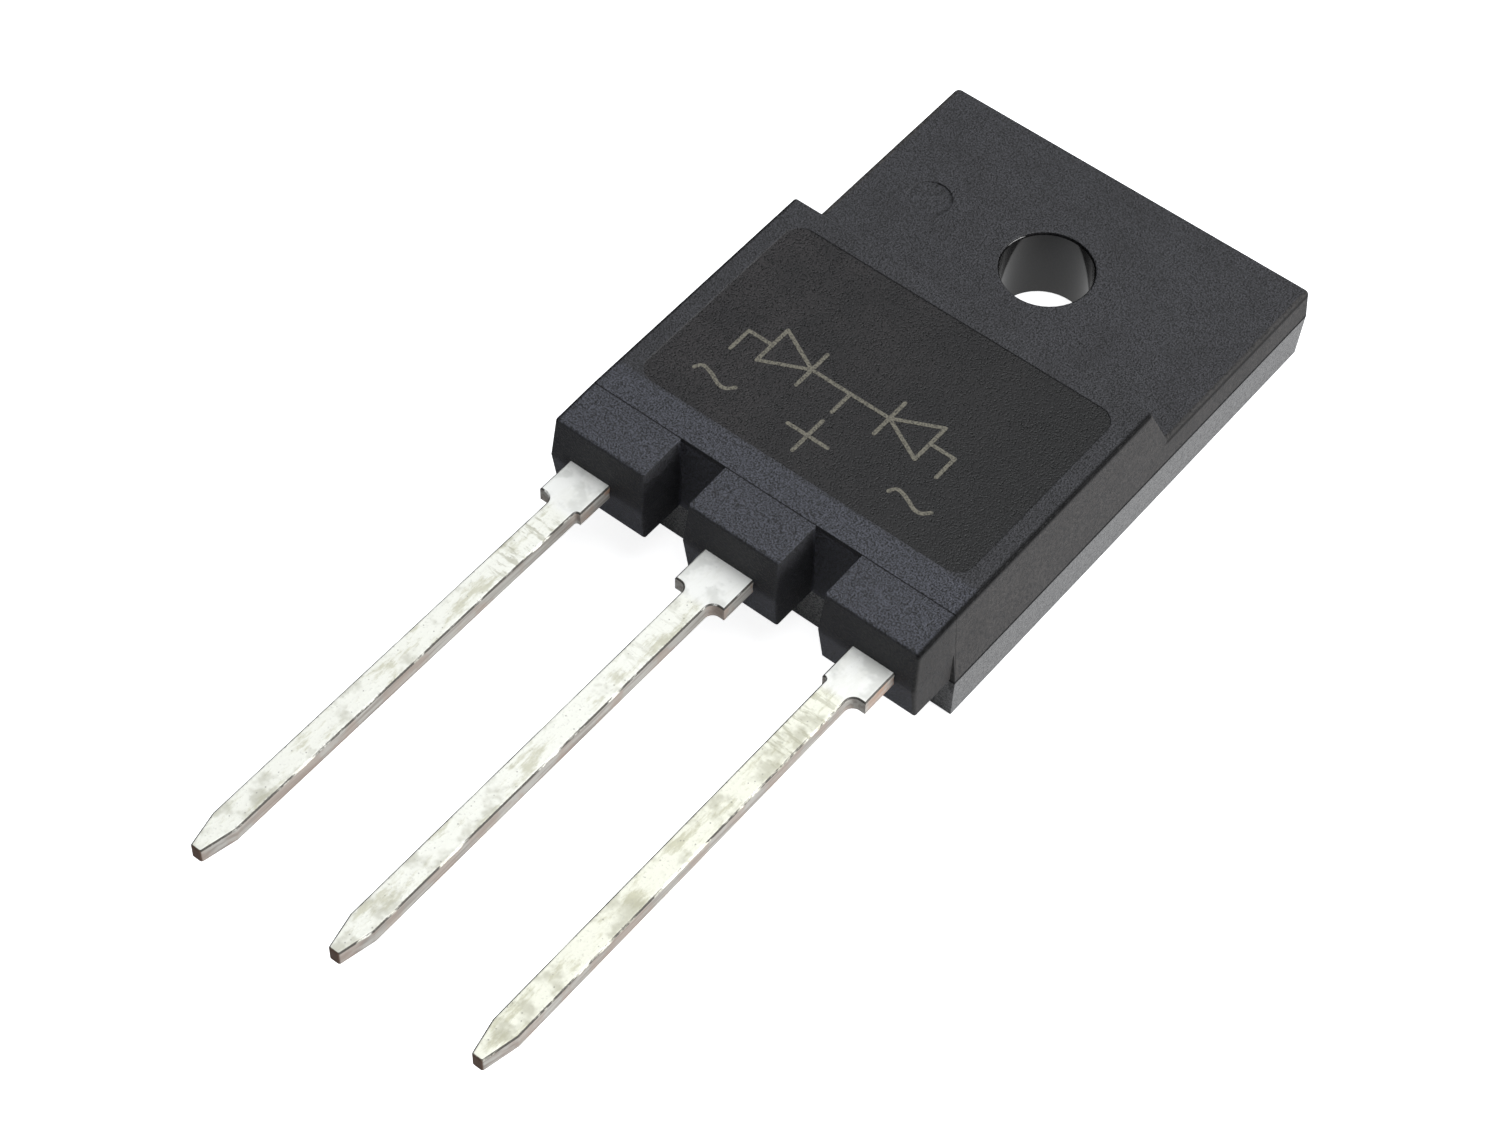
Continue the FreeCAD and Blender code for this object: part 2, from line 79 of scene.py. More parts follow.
camera_data = bpy.data.cameras.new("camera")
camera_data.lens = LENS
camera_data.sensor_width = SENSOR
camera_data.clip_start = NEAREST_SEEN * MM
camera_data.clip_end = FARTHEST_SEEN * MM
camera = bpy.data.objects.new("camera", camera_data)
bpy.context.scene.collection.objects.link(camera)
camera.location = CAMERA_AT
camera.rotation_mode = "QUATERNION"
camera.rotation_quaternion = (
    (CAMERA_AIM - CAMERA_AT).to_track_quat("-Z", "Y")
    @ Quaternion((0, 0, 1), CAMERA_ROLL))
bpy.context.scene.camera = camera


# A short way to write node trees

MIX_FACTOR = 0
MIX_COLOUR_A = 6
MIX_COLOUR_B = 7
MIX_RESULT = 2
BEVEL_SAMPLES = 6
NOISE_MIDDLE = 0.5


class Tree:
    """Builds one material: values and sockets can both be given as inputs."""

    def __init__(self, name):
        self.material = bpy.data.materials.new(name)
        self.material.use_nodes = True
        self.nodes = self.material.node_tree.nodes
        self.links = self.material.node_tree.links
        self.nodes.clear()
        self.output = self.nodes.new("ShaderNodeOutputMaterial")
        coordinates = self.nodes.new("ShaderNodeTexCoord")
        self.place = self.shade(coordinates.outputs["Object"], 1 / MM)
        parts = self.add("ShaderNodeSeparateXYZ", {0: self.place})
        self.x, self.y, self.z = parts.outputs
        normal = self.nodes.new("ShaderNodeNewGeometry")
        facing = self.add("ShaderNodeSeparateXYZ", {0: normal.outputs["True Normal"]})
        self.nx, self.ny, self.nz = facing.outputs

    def add(self, kind, inputs, **settings):
        node = self.nodes.new(kind)
        for name, value in settings.items():
            setattr(node, name, value)
        for key, value in inputs.items():
            socket = node.inputs[key]
            if isinstance(value, bpy.types.NodeSocket):
                self.links.new(value, socket)
            else:
                socket.default_value = value
        return node

    def math(self, operation, a, b=0.0, clamp=False):
        return self.add("ShaderNodeMath", {0: a, 1: b}, operation=operation,
                        use_clamp=clamp).outputs[0]

    def product(self, first, *others):
        """All the factors multiplied."""
        for factor in others:
            first = self.math("MULTIPLY", first, factor)
        return first

    def largest(self, first, *others):
        for factor in others:
            first = self.math("MAXIMUM", first, factor)
        return first

    def without(self, factor, taken):
        """A factor less another one, held between 0 and 1."""
        return self.math("SUBTRACT", factor, taken, clamp=True)

    def step(self, value, low, high):
        """0 at low, 1 at high, smooth between them and held beyond them; high may be the lesser."""
        return self.add("ShaderNodeMapRange",
                        {"Value": value, "From Min": low, "From Max": high},
                        interpolation_type="SMOOTHSTEP").outputs["Result"]

    def between(self, value, low, high, soft):
        """1 from low to high and 0 outside, with soft ends."""
        rise = self.step(value, low - soft, low + soft)
        fall = self.step(value, high + soft, high - soft)
        return self.product(rise, fall)

    def spread(self, value, low, high, a, b):
        """A value from low to high, stretched to run from a to b and held there."""
        return self.add("ShaderNodeMapRange",
                        {"Value": value, "From Min": low, "From Max": high,
                         "To Min": a, "To Max": b}).outputs["Result"]

    def scalar(self, factor, a, b):
        """Value a where the factor is 0 and b where it is 1."""
        return self.spread(factor, 0.0, 1.0, a, b)

    def stretch(self, x, y, z):
        """The place, with each of its coordinates scaled."""
        return self.tint(self.place, (x, y, z))

    def from_axis(self):
        """Distance from the mounting hole's axis."""
        return self.add("ShaderNodeVectorMath", {0: self.stretch(1.0, 1.0, 0.0)},
                        operation="LENGTH").outputs["Value"]

    def from_middle(self):
        """Distance from the middle plane."""
        return self.math("ABSOLUTE", self.x)

    def noise(self, scale, detail=3.0, rough=0.55, place=None):
        return self.add("ShaderNodeTexNoise",
                        {"Vector": place or self.place, "Scale": scale,
                         "Detail": detail, "Roughness": rough}).outputs["Fac"]

    def spots(self, scale):
        """Distance to the nearest of many scattered points."""
        return self.add("ShaderNodeTexVoronoi",
                        {"Vector": self.place, "Scale": scale}).outputs["Distance"]

    def mix(self, factor, a, b):
        """Colour a where the factor is 0 and b where it is 1."""
        node = self.nodes.new("ShaderNodeMix")
        node.data_type = "RGBA"
        for key, value in ((MIX_FACTOR, factor), (MIX_COLOUR_A, a), (MIX_COLOUR_B, b)):
            socket = node.inputs[key]
            if isinstance(value, bpy.types.NodeSocket):
                self.links.new(value, socket)
            elif isinstance(value, tuple):
                socket.default_value = (*value, 1.0)
            else:
                socket.default_value = value
        return node.outputs[MIX_RESULT]

    def paint(self, under, over, where, strength=1.0):
        """A colour with another one laid over it, where a factor says and as strongly as asked."""
        if strength != 1.0:
            where = self.product(where, strength)
        return self.mix(where, under, over)

    def shade(self, colour, gain):
        """A colour, or a place, scaled by one factor."""
        return self.add("ShaderNodeVectorMath", {0: colour, "Scale": gain},
                        operation="SCALE").outputs[0]

    def tint(self, colour, by):
        """A colour, or a place, with each of its three numbers scaled."""
        return self.add("ShaderNodeVectorMath", {0: colour, 1: by},
                        operation="MULTIPLY").outputs[0]

    def bump(self, height, depth_mm, strength=1.0, normal=None):
        inputs = {"Height": height, "Distance": depth_mm * MM, "Strength": strength}
        if normal is not None:
            inputs["Normal"] = normal
        return self.add("ShaderNodeBump", inputs).outputs["Normal"]

    def soft_edges(self, radius_mm):
        """A normal that rounds the edges a little."""
        return self.add("ShaderNodeBevel", {"Radius": radius_mm * MM},
                        samples=BEVEL_SAMPLES).outputs["Normal"]

    def finish(self, **inputs):
        shader = self.add("ShaderNodeBsdfPrincipled",
                          {name.replace("_", " "): value for name, value in inputs.items()})
        self.links.new(shader.outputs[0], self.output.inputs["Surface"])
        return self.material


# Mould compound: grained walls, a smoother marking field, fine seams, dark lines at the parting and
# roots, painted shade along the upper edges, and painted shade, light and reflections in places

# Its textures: features per millimetre, then layers of detail and the fine layers' share
CLOUDS = (0.55, 4.0, 0.6)
TOP_GRAIN = (16.0, 2.0, 0.6)
FLANK_GRAIN = (7.5, 3.0, 0.75)
FILLER_SPOTS = 9.0

# Its colours, in linear light
TOP_LIGHT = (0.0265, 0.0265, 0.0295)
TOP_DARK = (0.0215, 0.0213, 0.0235)
# Painted reflection: the front strip and the bosses are lighter and bluer than the rest of the top
FRONT_STRIP_SHEEN = (0.0360, 0.0372, 0.0450)
# Painted reflection of the floor on the lower half, below the flanks' parting
LOWER_HALF_REFLECTION = (0.1080, 0.1075, 0.1070)
FIELD_LIGHT = (0.0110, 0.0096, 0.0098)
FIELD_DARK = (0.0060, 0.0053, 0.0056)
# Painted light on the field's rear wall, where shade falls
FIELD_WALL_LIGHT = (0.075, 0.075, 0.082)
FLANK_TINT = (0.95, 0.88, 0.76)
BORE = (0.0040, 0.0038, 0.0040)
FILLER = (0.20, 0.19, 0.18)
SEAM = (0.004, 0.004, 0.005)
# Painted shade along the upper edges; the same colour draws the dark lines at the parting and the roots
LINE_AND_RIM_SHADE = (0.0020, 0.0020, 0.0022)

# How much painted shade and painted reflections darken or lighten the colours in places, and how much
# the grain does
SHELTER_SHADE = 0.3
BOSS_SIDE_SHADE = 0.7
FIELD_HALF_WIDTH = 6.0
FIELD_LEFT_SHEEN = 1.3
FIELD_RIGHT_SHEEN = 0.15
GRAIN_SWING = 0.14
GRAIN_LOW_GAIN = 0.1
GRAIN_HIGH_GAIN = 2.4
LOWER_CALM = 0.4

# Its lines: half widths, widths and soft ends in millimetres, and how dark the weaker ones are
SEAM_HALF = 0.015
ROOT_LINE_HALF = 0.02
LINE_SOFT = 0.012
PARTING_WIDTH = 0.10
PARTING_SOFT = 0.02
RIM_FADE = 0.30
RIM_SOLID = 0.06
TAB_RIM_STRENGTH = 0.7
ROOT_LINE_STRENGTH = 0.6
SEAM_STRENGTH = 0.85
SPECK_STRENGTH = 0.25

# Its surface: roughness of each place, the grain's part in it, sheen, and relief in millimetres
TOP_ROUGH = 0.64
FIELD_ROUGH = 0.42
LOWER_SMOOTHER = 0.36
BORE_ROUGH = 0.09
GRAIN_ROUGH = 0.2
EPOXY_IOR = 1.5
EPOXY_SHEEN = 0.5
LINE_SHEEN = 0.12
GRAIN_RELIEF = 0.05
FIELD_RELIEF_SHARE = 0.45
SEAM_RELIEF_SHARE = 1.5
EDGE_ROUND = 0.05


def moulding_places(t):
    """The places on the moulding that look different, each as a factor from 0 to 1."""
    at = SimpleNamespace()
    at_field_height = t.between(t.z, FIELD_TOP - 0.012, FIELD_TOP + 0.003, 0.002)
    behind_bosses = t.step(t.y, FIELD_FRONT - 0.3, FIELD_FRONT - 0.2)
    at.field = t.product(at_field_height, behind_bosses)
    # Where light is painted on the field's rear wall
    at.field_wall = t.product(t.step(t.z, FIELD_TOP + 0.001, FIELD_TOP + 0.005),
                              t.step(t.ny, -0.3, -0.6),
                              t.step(t.y, FIELD_REAR - 1.0, FIELD_REAR - 0.7))
    at.bore = t.step(t.from_axis(), HOLE_RADIUS + 0.05, HOLE_RADIUS + 0.02)
    below_parting = t.step(t.z, SIDE_PARTING + 0.01, SIDE_PARTING - 0.02)
    at.lower_half = t.without(below_parting, at.bore)
    at.flank = t.step(t.from_middle(), FLANK, FLANK + 0.05)
    at.upper_flank = t.product(at.flank, t.step(t.z, SIDE_PARTING, SIDE_PARTING + 0.05))
    at.front = t.without(t.step(t.y, FIELD_FRONT + 0.1, FIELD_FRONT - 0.2), at.flank)

    # Painted shade on the bosses' fronts above the parting and on the walls in the notches between them
    ahead = t.step(t.y, FRONT_TOP - 0.1, FRONT_TOP - 0.2)
    boss_front = t.product(t.step(t.ny, -0.5, -0.8),
                           t.step(t.z, FRONT_PARTING - 0.25, FRONT_PARTING + 0.25))
    inner_side = t.product(t.step(t.nx, 0.5, 0.8), t.step(t.x, FLANK - 0.5, FLANK - 0.7))
    at.sheltered = t.product(ahead, t.largest(boss_front, inner_side))
    # Painted shade on the bosses' outer sides
    at.boss_side = t.product(ahead, at.upper_flank)
    at.seam = t.product(t.between(t.y, FRONT_TOP - SEAM_HALF, FRONT_TOP + SEAM_HALF, LINE_SOFT),
                        t.step(t.z, THICKNESS - 0.2, THICKNESS - 0.1))
    return at


def moulding_lines(t, flank):
    """Painted shade as dark lines along the upper edges, and dark lines at the flanks' parting and the
    bosses' roots.
    """
    wide = t.from_middle()
    at_root = t.between(t.y, FRONT_TOP - ROOT_LINE_HALF, FRONT_TOP + ROOT_LINE_HALF, LINE_SOFT)
    root_line = t.product(flank, at_root, ROOT_LINE_STRENGTH)
    at_parting = t.between(t.z, SIDE_PARTING, SIDE_PARTING + PARTING_WIDTH, PARTING_SOFT)
    parting = t.product(flank, at_parting)
    fall = t.spread(t.y, BOSS_FACE, FRONT_TOP, BOSS_DROP, 0.0)
    under_top = t.math("SUBTRACT", t.math("SUBTRACT", THICKNESS, fall), t.z)
    # Painted shade along the flanks' upper edges and the tab's top edge
    thick_rim_shade = t.product(t.step(under_top, RIM_FADE, RIM_SOLID),
                          t.step(wide, FLANK - 0.10, FLANK + 0.03),
                          t.step(t.y, REAR_SHOULDER + 0.1, REAR_SHOULDER - 0.1))
    tab_rim_shade = t.product(t.between(t.z, TAB_TOP - 0.16, TAB_TOP - 0.03, 0.04),
                        t.step(wide, FLANK + 0.08, FLANK + 0.14),
                        t.step(t.y, SLOPE_FOOT - 0.3, SLOPE_FOOT),
                        TAB_RIM_STRENGTH)
    return t.largest(thick_rim_shade, tab_rim_shade, parting, root_line)


def moulding_colour(t, at, clouds, grain, lines):
    """The compound's colour, place by place, then its grain and the lines on top."""
    colour = t.mix(clouds, TOP_LIGHT, TOP_DARK)
    # Painted reflection on the front strip and the bosses
    colour = t.paint(colour, FRONT_STRIP_SHEEN, at.front)
    # Painted reflection of the floor on the lower half
    colour = t.paint(colour, LOWER_HALF_REFLECTION, at.lower_half)
    field = t.mix(clouds, FIELD_LIGHT, FIELD_DARK)
    # Painted reflection on the field: lighter on the left, darker towards the right
    field_sheen = t.spread(t.x, -FIELD_HALF_WIDTH, FIELD_HALF_WIDTH, FIELD_LEFT_SHEEN, FIELD_RIGHT_SHEEN)
    field = t.shade(field, field_sheen)
    colour = t.paint(colour, field, at.field)
    # Painted shade on the bosses' fronts and in the notches
    colour = t.shade(colour, t.scalar(at.sheltered, 1.0, SHELTER_SHADE))
    colour = t.paint(colour, t.tint(colour, FLANK_TINT), at.upper_flank)
    # Painted shade on the bosses' outer sides
    colour = t.shade(colour, t.scalar(at.boss_side, 1.0, BOSS_SIDE_SHADE))
    colour = t.paint(colour, BORE, at.bore)
    calm = t.scalar(at.lower_half, 1.0, LOWER_CALM)
    swing = t.product(t.math("SUBTRACT", grain, NOISE_MIDDLE), calm)
    gain = t.spread(swing, -GRAIN_SWING, GRAIN_SWING, GRAIN_LOW_GAIN, GRAIN_HIGH_GAIN)
    colour = t.shade(colour, gain)
    speck = t.step(t.spots(FILLER_SPOTS), 0.10, 0.03)
    colour = t.paint(colour, FILLER, speck, SPECK_STRENGTH)
    # Painted light on the field's rear wall
    colour = t.paint(colour, FIELD_WALL_LIGHT, at.field_wall)
    colour = t.paint(colour, SEAM, at.seam, SEAM_STRENGTH)
    # Painted shade along the upper edges, and dark lines at the parting and the roots
    return t.paint(colour, LINE_AND_RIM_SHADE, lines)


def mould_compound():
    t = Tree("mould_compound")
    at = moulding_places(t)
    lines = moulding_lines(t, at.flank)
    clouds = t.step(t.noise(*CLOUDS), 0.35, 0.7)
    grain = t.scalar(at.flank, t.noise(*TOP_GRAIN), t.noise(*FLANK_GRAIN))
    colour = moulding_colour(t, at, clouds, grain, lines)

    rough = t.scalar(at.field, TOP_ROUGH, FIELD_ROUGH)
    rough = t.math("SUBTRACT", rough, t.product(at.lower_half, LOWER_SMOOTHER))
    grain_rough = t.spread(grain, NOISE_MIDDLE - GRAIN_SWING, NOISE_MIDDLE + GRAIN_SWING,
                           -GRAIN_ROUGH, GRAIN_ROUGH)
    rough = t.math("ADD", rough, grain_rough)
    rough = t.scalar(at.bore, rough, BORE_ROUGH)
    relief = t.without(t.scalar(at.field, 1.0, FIELD_RELIEF_SHARE), at.bore)
    height = t.math("SUBTRACT", t.product(grain, relief), t.product(at.seam, SEAM_RELIEF_SHARE))
    return t.finish(Base_Color=colour, Roughness=rough, IOR=EPOXY_IOR,
                    Normal=t.bump(height, GRAIN_RELIEF, normal=t.soft_edges(EDGE_ROUND)),
                    Specular_IOR_Level=t.scalar(lines, EPOXY_SHEEN, LINE_SHEEN))


# Tin plating: bright and mottled on top, with a painted highlight on the shoulders, scuffed, with
# painted shade and a dark ragged line at the rims, coppery where it was cut

# Its textures, written as for the mould compound
PATCHES = (1.6, 6.0, 0.68)
BLOTCHES = (0.9, 3.0, 0.6)
STREAKS = (7.0, 2.0, 0.6)
FINE_MOTTLE = (11.0, 3.0, 0.7)
SCRATCHES = (5.0, 3.0, 0.65)
PITS = 3.6

# Its colours, in linear light
TIN_BRIGHT = (1.0, 1.0, 0.92)
TIN_DULL = (0.74, 0.73, 0.60)
TIN_BLOTCH = (0.52, 0.51, 0.41)
TIN_MOTTLE = (0.50, 0.50, 0.45)
TIN_PIT = (0.28, 0.27, 0.24)
TIN_SCUFF = (0.50, 0.49, 0.38)
# Painted highlight on the shoulders
SHOULDER_HIGHLIGHT = (1.0, 1.0, 0.97)
TIN_SMUDGE = (0.45, 0.46, 0.42)
TARNISH_TINT = (0.97, 0.965, 0.90)
CUT_LIGHT = (0.50, 0.485, 0.45)
CUT_DARK = (0.34, 0.31, 0.28)
CUT_BROWN = (0.40, 0.31, 0.26)
COPPER = (0.44, 0.28, 0.20)
# Painted shade on the strips' edges, also used for the dark ragged line inside them
TIN_RIM_SHADE = (0.08, 0.075, 0.066)
BARE_TIP = (0.16, 0.10, 0.07)

# How strongly its marks, its painted highlight and its painted shade show
BLOTCH_STRENGTH = 0.6
MOTTLE_STRENGTH = 0.35
PIT_STRENGTH = 0.6
MIDDLE_LEAD_SCUFFS = 0.25
OUTER_LEAD_SCUFFS = 0.65
TARNISH_STRENGTH = 0.8
SHOULDER_HIGHLIGHT_STRENGTH = 0.8
SMUDGE_STRENGTH = 0.3
BROWN_STRENGTH = 0.5
RIM_STRENGTH = 0.5
RIM_RAGGED = 0.11

# Its surface: how metallic and how rough the places are, and the relief in millimetres
STRIP_METALLIC = 0.45
SHOULDER_METALLIC = 0.15
BRIGHT_ROUGH = 0.50
DULL_ROUGH = 0.75
CUT_ROUGHER = 0.08
TIN_RELIEF = 0.03
TIN_RELIEF_STRENGTH = 0.6
STRIP_EDGE_ROUND = 0.06

SHOULDER_END = BOSS_FACE - SHOULDER_LENGTH


def plated_top(t, shoulder, patches, blotch, fine):
    """The colour of the strips' upper faces."""
    colour = t.mix(t.step(patches, 0.50, 0.62), TIN_BRIGHT, TIN_DULL)
    colour = t.paint(colour, TIN_BLOTCH, t.step(blotch, 0.50, 0.66), BLOTCH_STRENGTH)
    colour = t.paint(colour, TIN_MOTTLE, t.step(fine, 0.55, 0.72), MOTTLE_STRENGTH)
    colour = t.paint(colour, TIN_PIT, t.step(t.spots(PITS), 0.13, 0.05), PIT_STRENGTH)

    scratch = t.noise(*SCRATCHES, t.stretch(0.25, 1.0, 1.0))
    near_neck = t.between(t.y, SHOULDER_END - 3.6, SHOULDER_END - 0.5, 0.6)
    outer_lead = t.step(t.from_middle(), 1.0, 2.0)
    scuffed = t.product(near_neck, t.step(scratch, 0.50, 0.64),
                        t.scalar(outer_lead, MIDDLE_LEAD_SCUFFS, OUTER_LEAD_SCUFFS))
    colour = t.paint(colour, TIN_SCUFF, scuffed)

    right_lead = t.step(t.x, 3.5, 4.5)
    tarnish = t.product(right_lead, t.scalar(shoulder, TARNISH_STRENGTH, 0.0))
    colour = t.paint(colour, t.tint(colour, TARNISH_TINT), tarnish)
    # Painted highlight on the shoulders
    colour = t.paint(colour, SHOULDER_HIGHLIGHT, shoulder, SHOULDER_HIGHLIGHT_STRENGTH)
    smudge = t.product(shoulder, t.step(blotch, 0.46, 0.58))
    return t.paint(colour, TIN_SMUDGE, smudge, SMUDGE_STRENGTH)


def cut_side(t, blotch):
    """The colour of the strips' sides, which the punch left partly bare."""
    streak = t.noise(*STREAKS, t.stretch(1.0, 0.05, 1.0))
    near_boss = t.step(t.y, BOSS_FACE - 1.8, BOSS_FACE - 0.2)
    colour = t.mix(t.step(streak, 0.4, 0.65), CUT_LIGHT, CUT_DARK)
    colour = t.paint(colour, CUT_BROWN, t.step(blotch, 0.45, 0.6), BROWN_STRENGTH)
    return t.paint(colour, COPPER, t.product(near_boss, t.step(blotch, 0.46, 0.62)))


def rim_shade_and_line(t, level, patches, fine):
    """Painted shade on the broken edges, patchy, and a dark ragged line just inside them on top."""
    wide = t.from_middle()
    off_middle = t.math("MINIMUM", wide, t.math("ABSOLUTE", t.math("SUBTRACT", wide, LEAD_PITCH)))
    ragged = t.math("ADD", off_middle, t.scalar(fine, -RIM_RAGGED, RIM_RAGGED))
    on_top = t.step(level, 0.6, 0.9)
    past_neck = t.step(t.y, SHOULDER_END - 0.6, SHOULDER_END - 0.8)
    at_rim = t.step(ragged, LEAD_HALF_WIDTH - 0.065, LEAD_HALF_WIDTH - 0.015)
    rim = t.product(at_rim, on_top, past_neck, RIM_STRENGTH)
    edge = t.between(level, 0.5, 0.9, 0.05)
    return t.product(t.largest(edge, rim), t.step(patches, 0.38, 0.50))


def tinned_copper():
    t = Tree("tinned_copper")
    patches = t.noise(*PATCHES, t.stretch(1.0, 0.30, 1.0))
    blotch = t.noise(*BLOTCHES)
    fine = t.noise(*FINE_MOTTLE)
    level = t.math("ABSOLUTE", t.nz)
    side = t.step(level, 0.5, 0.3)
    tip = t.step(t.y, LEAD_TIP + 0.06, LEAD_TIP + 0.02)
    shoulder = t.step(t.y, SHOULDER_END - 0.5, SHOULDER_END - 0.1)

    colour = t.mix(side, plated_top(t, shoulder, patches, blotch, fine), cut_side(t, blotch))
    # Painted shade on the strips' edges, and a dark ragged line inside them on top
    colour = t.paint(colour, TIN_RIM_SHADE, rim_shade_and_line(t, level, patches, fine))
    colour = t.paint(colour, BARE_TIP, tip)

    metallic = t.scalar(shoulder, STRIP_METALLIC, SHOULDER_METALLIC)
    rough = t.math("ADD", t.scalar(patches, BRIGHT_ROUGH, DULL_ROUGH), t.scalar(side, 0.0, CUT_ROUGHER))
    waves = t.math("ADD", t.product(patches, 0.7), t.product(fine, 0.3))
    normal = t.bump(waves, TIN_RELIEF, TIN_RELIEF_STRENGTH, t.soft_edges(STRIP_EDGE_ROUND))
    return t.finish(Base_Color=colour, Metallic=metallic, Roughness=rough, Normal=normal)


# Laser marking: pale and slightly broken where the beam burnt the compound

BURN_GRAIN = (16.0, 3.0, 0.7)
BURN_DARK = (0.050, 0.047, 0.040)
BURN_PALE = (0.195, 0.183, 0.145)
BURN_RELIEF = 0.004
BURN_RELIEF_STRENGTH = 0.6


def laser_mark():
    t = Tree("laser_mark")
    grain = t.noise(*BURN_GRAIN)
    colour = t.mix(t.step(grain, 0.36, 0.58), BURN_DARK, BURN_PALE)
    return t.finish(Base_Color=colour, Roughness=t.scalar(grain, 0.75, 0.95),
                    Normal=t.bump(grain, BURN_RELIEF, BURN_RELIEF_STRENGTH))


# Sealed pieces: chips, solder and wires

SILICON = (0.10, 0.11, 0.14)
CHIP_METAL_LIGHT = (0.72, 0.73, 0.75)
CHIP_METAL_DARK = (0.60, 0.61, 0.64)
SOLDER_DARK = (0.42, 0.42, 0.44)
SOLDER_LIGHT = (0.62, 0.62, 0.63)
WIRE_LIGHT = (0.80, 0.81, 0.83)
WIRE_DARK = (0.66, 0.67, 0.69)
CHIP_FILM = (3.0, 3.0)
SOLDER_FLOW = (4.0, 4.0)
WIRE_DRAWN = (6.0, 3.0)
FINE_RELIEF = 0.004
SOLDER_RELIEF = 0.01


def silicon():
    t = Tree("silicon")
    top = t.step(t.nz, 0.5, 0.9)
    film = t.noise(*CHIP_FILM)
    metal = t.mix(film, CHIP_METAL_LIGHT, CHIP_METAL_DARK)
    colour = t.mix(top, SILICON, metal)
    return t.finish(Base_Color=colour, Metallic=t.scalar(top, 0.6, 1.0),
                    Roughness=t.scalar(film, 0.25, 0.4), Normal=t.bump(film, FINE_RELIEF))


def solder():
    t = Tree("solder")
    flow = t.noise(*SOLDER_FLOW)
    colour = t.mix(flow, SOLDER_DARK, SOLDER_LIGHT)
    return t.finish(Base_Color=colour, Metallic=1.0, Roughness=t.scalar(flow, 0.35, 0.55),
                    Normal=t.bump(flow, SOLDER_RELIEF))


def aluminium_wire():
    t = Tree("aluminium_wire")
    drawn = t.noise(*WIRE_DRAWN)
    colour = t.mix(drawn, WIRE_LIGHT, WIRE_DARK)
    return t.finish(Base_Color=colour, Metallic=1.0, Roughness=t.scalar(drawn, 0.3, 0.45),
                    Normal=t.bump(drawn, FINE_RELIEF))


FINISHES = {
    "package_body": mould_compound(),
    "lead": tinned_copper(),
    "chip_solder": solder(),
    "diode_chip": silicon(),
    "bond_wire": aluminium_wire(),
}
for name, node in NODES.items():
    finish = next(look for key, look in FINISHES.items() if key in name)
    for index in range(max(1, len(node.material_slots))):
        if index >= len(node.material_slots):
            node.data.materials.append(finish)
        node.material_slots[index].material = finish


# Marking: polarity signs and the circuit symbol, as strokes on the field

STROKE = 0.14
INK_HEIGHT = FIELD_TOP + 0.003
INK_STEP = 0.0005
CURVE_STEPS = 6
CAP_STEPS = 5
MARK = laser_mark()


def smooth(points):
    """A curve through the points, or the straight line between two."""
    if len(points) < 3:
        return [Vector(p) for p in points]
    padded = [points[0], *points, points[-1]]
    curve = []
    for i in range(len(points) - 1):
        a, b, c, d = (Vector(p) for p in padded[i:i + 4])
        for s in range(CURVE_STEPS):
            k = s / CURVE_STEPS
            curve.append(0.5 * (2 * b + (c - a) * k + (2 * a - 5 * b + 4 * c - d) * k * k
                                + (3 * b - a - 3 * c + d) * k * k * k))
    curve.append(Vector(points[-1]))
    return curve


def round_cap(middle, first):
    """The points of a half circle about a line's end, between the stroke's two corners."""
    arm = first - middle
    cap = []
    for k in range(1, CAP_STEPS):
        turn = -math.pi * k / CAP_STEPS
        cap.append(middle + Vector((arm.x * math.cos(turn) - arm.y * math.sin(turn),
                                    arm.x * math.sin(turn) + arm.y * math.cos(turn))))
    return cap


def ribbon(vertices, faces, line, height):
    """Adds one flat stroke with round ends to a mesh's lists."""
    left = []
    right = []
    for i, point in enumerate(line):
        ahead = (line[min(i + 1, len(line) - 1)] - line[max(i - 1, 0)]).normalized()
        across = Vector((-ahead.y, ahead.x)) * STROKE / 2
        left.append(point + across)
        right.append(point - across)
    base = len(vertices)
    count = len(line)
    for point in left + right:
        vertices.append(mm(point.x, point.y, height))
    for i in range(count - 1):
        faces.append((base + i, base + count + i, base + count + i + 1, base + i + 1))
    far_end = (round_cap(line[-1], left[-1]), count - 1, 2 * count - 1)
    near_end = (round_cap(line[0], right[0]), count, 0)
    for cap, a, b in (far_end, near_end):
        start = len(vertices)
        vertices.extend(mm(point.x, point.y, height) for point in cap)
        backwards = range(start + len(cap) - 1, start - 1, -1)
        faces.append((base + b, *backwards, base + a))


def marking(name, lines):
    """One mesh of strokes, each a hair above the one before it."""
    vertices = []
    faces = []
    for layer, line in enumerate(lines):
        ribbon(vertices, faces, smooth(line), INK_HEIGHT + layer * INK_STEP)
    mesh = bpy.data.meshes.new(name)
    mesh.from_pydata(vertices, [], faces)
    mesh.update()
    piece = bpy.data.objects.new(name, mesh)
    bpy.context.scene.collection.objects.link(piece)
    mesh.materials.append(MARK)
    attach(piece, "root")


# Polarity signs: a wave at each outer lead and a plus between them

SIGN_ROW = -12.08
LEFT_WAVE_AT = -4.36
RIGHT_WAVE_AT = 3.42
RIGHT_WAVE_DROP = 0.03
PLUS_AT = -0.635
PLUS_HALF_WIDTH = 0.79
PLUS_HALF_HEIGHT = 0.76
WAVE = [(-0.77, -0.10), (-0.60, 0.13), (-0.28, 0.08), (0.02, -0.05),
        (0.28, -0.17), (0.55, -0.15), (0.77, 0.07)]


def wave(x, y):
    """An alternating current sign about a point."""
    return [(x + across, y + up) for across, up in WAVE]


